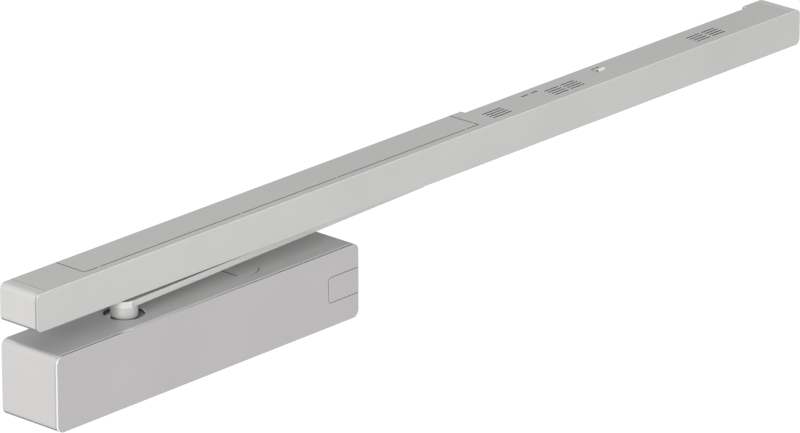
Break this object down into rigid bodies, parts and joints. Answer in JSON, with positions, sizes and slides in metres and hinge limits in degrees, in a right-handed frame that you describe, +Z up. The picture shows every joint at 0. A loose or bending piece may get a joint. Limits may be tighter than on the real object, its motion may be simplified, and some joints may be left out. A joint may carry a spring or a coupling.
{
  "type": "hold-open door closer",
  "caption": "Slim box-shaped cam-action door closer with a flat arm in a long slide rail that holds an electric hold-open catch and a smoke detector.",
  "frame": {"origin": "middle of the rail's two outer fixing holes, on the wall plane", "axes": "+Z up, +X along the rail away from the hinge side, +Y into the wall, so the object stands out towards -Y"},
  "size_m": [0.876, 0.058, 0.1054],
  "materials": {
    "satin_aluminium": "satin silver, bead-blasted and anodised",
    "cap_silver": "satin silver lacquer",
    "raw_aluminium": "mill finish",
    "arm_steel": "satin silver lacquer on steel",
    "steel": "ground",
    "dark_steel": "black oxide",
    "brass": "turned",
    "black_rubber": "matt",
    "black_plastic": "fine texture",
    "copper_coil": "taped winding",
    "board_green": "solder mask",
    "component_dark": "potted",
    "relay_white": "moulded",
    "light_pipe": "smoked, moulded"
  },
  "bodies": {
    "rail": {"rail_profile": "raw_aluminium", "front_cover": "satin_aluminium", "top_panel": "satin_aluminium", "left_end_cap": "cap_silver", "right_end_cap": "cap_silver", "slide_stops": "dark_steel", "stop_buffers": "black_rubber", "hold_open_base": "steel", "magnet_coil": "copper_coil", "catch_pin": "steel", "plunger_spring": "steel", "electronics_tray": "black_plastic", "circuit_board": "board_green", "smoke_chamber": "black_plastic", "power_supply": "component_dark", "relay": "relay_white", "terminal_block": "board_green", "status_lights": "light_pipe"},
    "catch": {"catch_lever": "dark_steel"},
    "plunger": {"magnet_plunger": "steel"},
    "latch_tab": {"cover_latch": "satin_aluminium"},
    "slider": {"slide_block": "black_plastic", "slider_pin": "steel", "retaining_ring": "dark_steel"},
    "arm": {"arm": "arm_steel", "arm_bush": "brass", "arm_screw": "dark_steel", "cam_shaft": "steel"},
    "closer": {"mounting_plate": "raw_aluminium", "closer_housing": "raw_aluminium", "body_screws": "dark_steel", "upper_bearing": "steel", "lower_bearing": "steel", "shaft_seal": "black_rubber", "upper_bearing_cap": "steel", "lower_bearing_cap": "steel", "left_end_plug": "steel", "right_end_plug": "steel", "plug_seals": "black_rubber", "closing_spring": "dark_steel", "damping_spring": "steel", "cover_shell": "satin_aluminium", "front_panel": "satin_aluminium", "badge_plate": "satin_aluminium", "position_cap": "satin_aluminium"},
    "spring_side": {"spring_piston": "raw_aluminium", "spring_roller_pin": "steel"},
    "spring_side_roller": {"spring_roller": "steel"},
    "damping_side": {"damping_piston": "raw_aluminium", "damping_roller_pin": "steel", "check_valve": "brass"},
    "damping_side_roller": {"damping_roller": "steel"},
    "plate": {"spring_plate": "steel"},
    "adjuster": {"adjusting_screw": "dark_steel"},
    "closing_valve_screw": {"closing_valve": "brass"},
    "latching_valve_screw": {"latching_valve": "brass"},
    "backcheck_valve_screw": {"backcheck_valve": "brass"}
  },
  "joints": [
    {"name": "slider_travel", "type": "slide", "parent": "rail", "child": "slider", "axis": [1, 0, 0], "range_m": [-0.36, 0.02]},
    {"name": "arm_turn", "type": "hinge", "parent": "slider", "child": "arm", "pos_m": [-0.006, -0.019, -0.0195], "axis": [0, 0, 1], "range_deg": [0, 75]},
    {"name": "closer_turn", "type": "hinge", "parent": "arm", "child": "closer", "pos_m": [-0.338, -0.029, -0.059], "axis": [0, 0, -1], "range_deg": [0, 150], "stiffness_Nm_per_rad": 4, "springref_deg": -126.05},
    {"name": "spring_piston_travel", "type": "slide", "parent": "closer", "child": "spring_side", "axis": [1, 0, 0], "range_m": [0, 0.01], "deforming": ["closing_spring"]},
    {"name": "spring_roller_spin", "type": "hinge", "parent": "spring_side", "child": "spring_side_roller", "pos_m": [-0.3235, -0.029, -0.059], "axis": [0, 0, 1], "continuous": true},
    {"name": "damping_piston_travel", "type": "slide", "parent": "closer", "child": "damping_side", "axis": [1, 0, 0], "range_m": [0, 0.01], "deforming": ["damping_spring"]},
    {"name": "damping_roller_spin", "type": "hinge", "parent": "damping_side", "child": "damping_side_roller", "pos_m": [-0.3625, -0.029, -0.059], "axis": [0, 0, 1], "continuous": true},
    {"name": "spring_force_turn", "type": "hinge", "parent": "closer", "child": "adjuster", "pos_m": [-0.132, -0.029, -0.059], "axis": [1, 0, 0], "range_deg": [0, 2880]},
    {"name": "spring_plate_travel", "type": "slide", "parent": "closer", "child": "plate", "axis": [-1, 0, 0], "range_m": [0, 0.01]},
    {"name": "closing_speed_turn", "type": "hinge", "parent": "closer", "child": "closing_valve_screw", "pos_m": [-0.405, -0.047, -0.0382], "axis": [0, 1, 0], "range_deg": [0, 720]},
    {"name": "latching_speed_turn", "type": "hinge", "parent": "closer", "child": "latching_valve_screw", "pos_m": [-0.387, -0.047, -0.0382], "axis": [0, 1, 0], "range_deg": [0, 720]},
    {"name": "backcheck_turn", "type": "hinge", "parent": "closer", "child": "backcheck_valve_screw", "pos_m": [-0.369, -0.047, -0.0382], "axis": [0, 1, 0], "range_deg": [0, 720]},
    {"name": "catch_tilt", "type": "hinge", "parent": "rail", "child": "catch", "pos_m": [-0.253, -0.019, 0.0093], "axis": [0, -1, 0], "range_deg": [0, 6.5], "stiffness_Nm_per_rad": 0.05, "springref_deg": -17.19},
    {"name": "plunger_travel", "type": "slide", "parent": "rail", "child": "plunger", "axis": [-1, 0, 0], "range_m": [0, 0.003], "deforming": ["plunger_spring"]},
    {"name": "cover_latch_travel", "type": "slide", "parent": "rail", "child": "latch_tab", "axis": [0, 1, 0], "range_m": [0, 0.002]}
  ],
  "couplings": [
    {"joint": "spring_piston_travel", "follows": "closer_turn", "m_per_rad": 0.0038197},
    {"joint": "damping_piston_travel", "follows": "closer_turn", "m_per_rad": 0.0038197},
    {"joint": "spring_force_turn", "follows": "spring_plate_travel", "rad_per_m": 5026.5},
    {"joint": "catch_tilt", "follows": "plunger_travel", "rad_per_m": 37.815}
  ]
}
